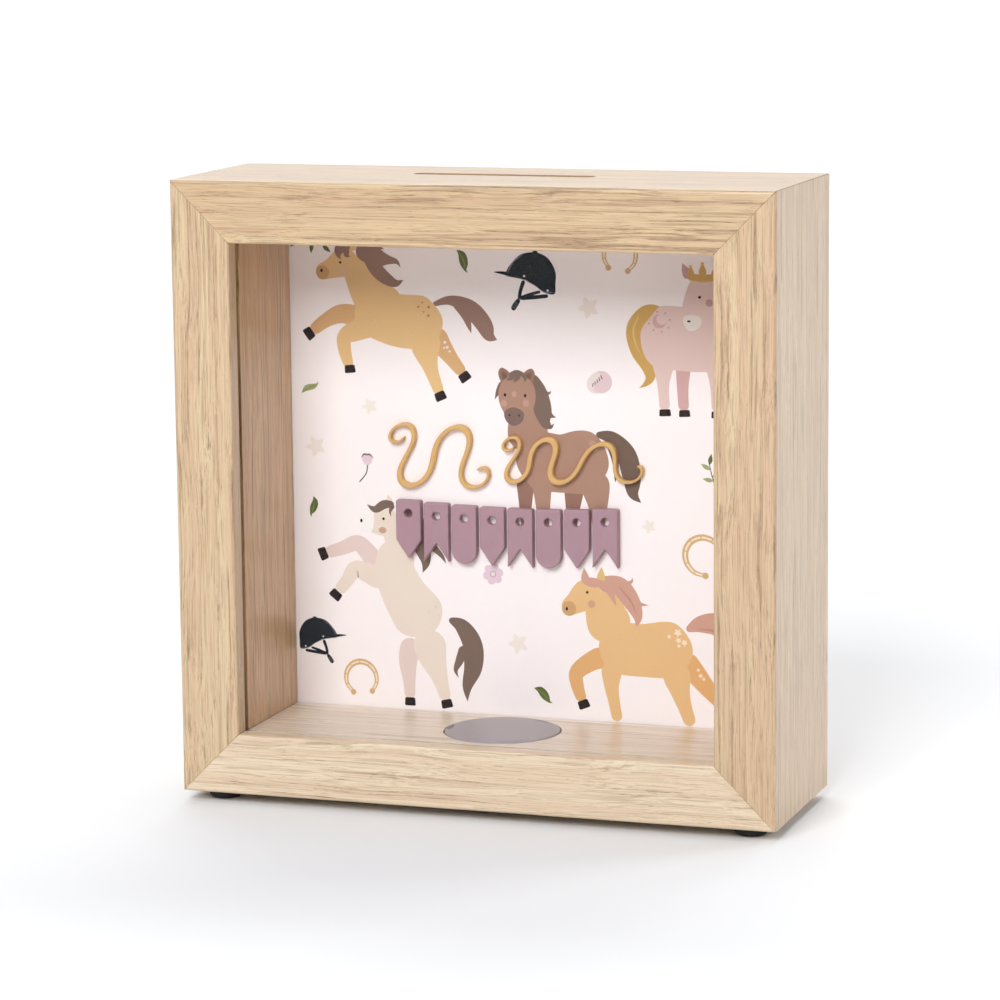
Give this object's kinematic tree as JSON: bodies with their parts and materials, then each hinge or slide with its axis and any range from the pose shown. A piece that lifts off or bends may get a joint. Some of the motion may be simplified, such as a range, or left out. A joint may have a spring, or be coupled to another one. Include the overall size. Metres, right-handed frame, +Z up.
{
  "type": "money box",
  "caption": "Square wooden frame money box: clear front pane, printed card with raised ornaments, coin slot on top, push-in plug in the base, bumper feet.",
  "frame": {"origin": "middle of the ground rectangle under the four feet", "axes": "+Z up, -Y out of the front window, +X to the right seen from the front"},
  "size_m": [0.15, 0.05, 0.1526],
  "materials": {
    "oak": "pale oak-effect surface, satin",
    "liner_oak": "oak-effect surface, satin",
    "pane": "clear, polished",
    "card": "printed card, matt, pink white",
    "hardboard": "raw hardboard",
    "gold_paint": "painted cut-out, satin gold tan",
    "mauve_paint": "painted cut-out, satin mauve",
    "grey_rubber": "soft grey plug, satin",
    "black_rubber": "matt black",
    "zinc_steel": "zinc plated"
  },
  "bodies": {
    "box": {"back_board": "hardboard", "board_tab_bottom_a": "zinc_steel", "board_tab_bottom_b": "zinc_steel", "board_tab_left_a": "zinc_steel", "board_tab_left_b": "zinc_steel", "board_tab_right_a": "zinc_steel", "board_tab_right_b": "zinc_steel", "board_tab_top_a": "zinc_steel", "board_tab_top_b": "zinc_steel", "bunting_pennant_1": "mauve_paint", "bunting_pennant_2": "mauve_paint", "bunting_pennant_3": "mauve_paint", "bunting_pennant_4": "mauve_paint", "bunting_pennant_5": "mauve_paint", "bunting_pennant_6": "mauve_paint", "bunting_pennant_7": "mauve_paint", "bunting_pennant_8": "mauve_paint", "corner_nail_bottom_left": "zinc_steel", "corner_nail_bottom_right": "zinc_steel", "corner_nail_top_left": "zinc_steel", "corner_nail_top_right": "zinc_steel", "foot_back_left": "black_rubber", "foot_back_right": "black_rubber", "foot_front_left": "black_rubber", "foot_front_right": "black_rubber", "frame_rail_bottom": "oak", "frame_rail_top": "oak", "frame_stile_left": "oak", "frame_stile_right": "oak", "front_pane": "pane", "liner_bottom": "liner_oak", "liner_left": "liner_oak", "liner_right": "liner_oak", "liner_top": "liner_oak", "printed_card": "card", "swash_left": "gold_paint", "swash_right": "gold_paint"},
    "plug": {"base_plug": "grey_rubber"}
  },
  "joints": [
    {"name": "plug_pull", "type": "slide", "parent": "box", "child": "plug", "axis": [0, 0, -1], "range_m": [0, 0.018]}
  ]
}
